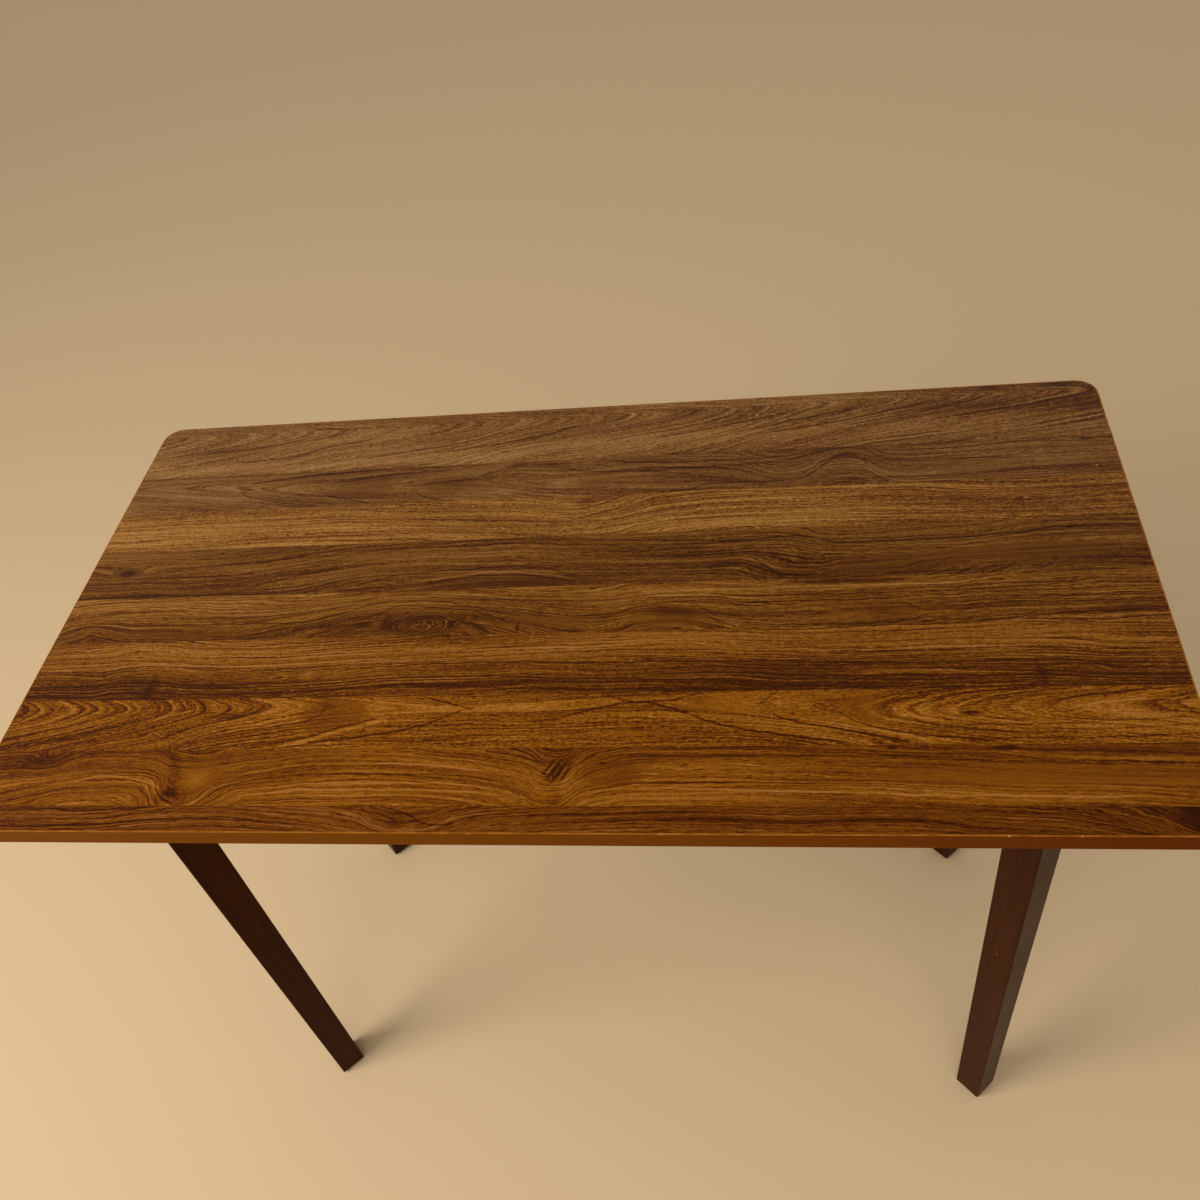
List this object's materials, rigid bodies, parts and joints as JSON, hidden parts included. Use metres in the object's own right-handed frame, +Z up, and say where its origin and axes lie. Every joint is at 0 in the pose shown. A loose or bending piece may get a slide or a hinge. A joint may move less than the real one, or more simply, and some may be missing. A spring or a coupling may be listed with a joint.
{
  "type": "dining table",
  "caption": "Small rectangular dining table: thin walnut-look top with round corners on an inset apron frame and tapered square legs turned 45 degrees.",
  "frame": {"origin": "on the floor, under the middle of the top", "axes": "+X along the length of the top, +Y across it to the back, +Z up"},
  "size_m": [1.067, 0.565, 0.762],
  "materials": {
    "walnut_laminate": "satin",
    "amber_edge": "satin",
    "fibreboard": "matte",
    "brown_backer": "matte",
    "espresso_wood": "satin",
    "beech": "matte",
    "zinc_steel": "zinc plated",
    "black_plastic": "matte"
  },
  "bodies": {
    "root": {"angle_brackets": "zinc_steel", "apron_screws": "zinc_steel", "back_apron": "espresso_wood", "back_left_corner_brace": "espresso_wood", "back_left_foot_pad": "black_plastic", "back_left_leg": "espresso_wood", "back_right_corner_brace": "espresso_wood", "back_right_foot_pad": "black_plastic", "back_right_leg": "espresso_wood", "centre_rail": "espresso_wood", "centre_rail_dowels": "beech", "corner_dowels": "beech", "edge_band": "amber_edge", "flat_washers": "zinc_steel", "foot_pad_nails": "zinc_steel", "front_apron": "espresso_wood", "front_left_corner_brace": "espresso_wood", "front_left_foot_pad": "black_plastic", "front_left_leg": "espresso_wood", "front_right_corner_brace": "espresso_wood", "front_right_foot_pad": "black_plastic", "front_right_leg": "espresso_wood", "hanger_bolts": "zinc_steel", "hex_nuts": "zinc_steel", "left_apron": "espresso_wood", "right_apron": "espresso_wood", "split_washers": "zinc_steel", "top_core": "fibreboard", "top_screws": "zinc_steel", "underside_backer_sheet": "brown_backer", "walnut_face_sheet": "walnut_laminate"}
  },
  "joints": []
}
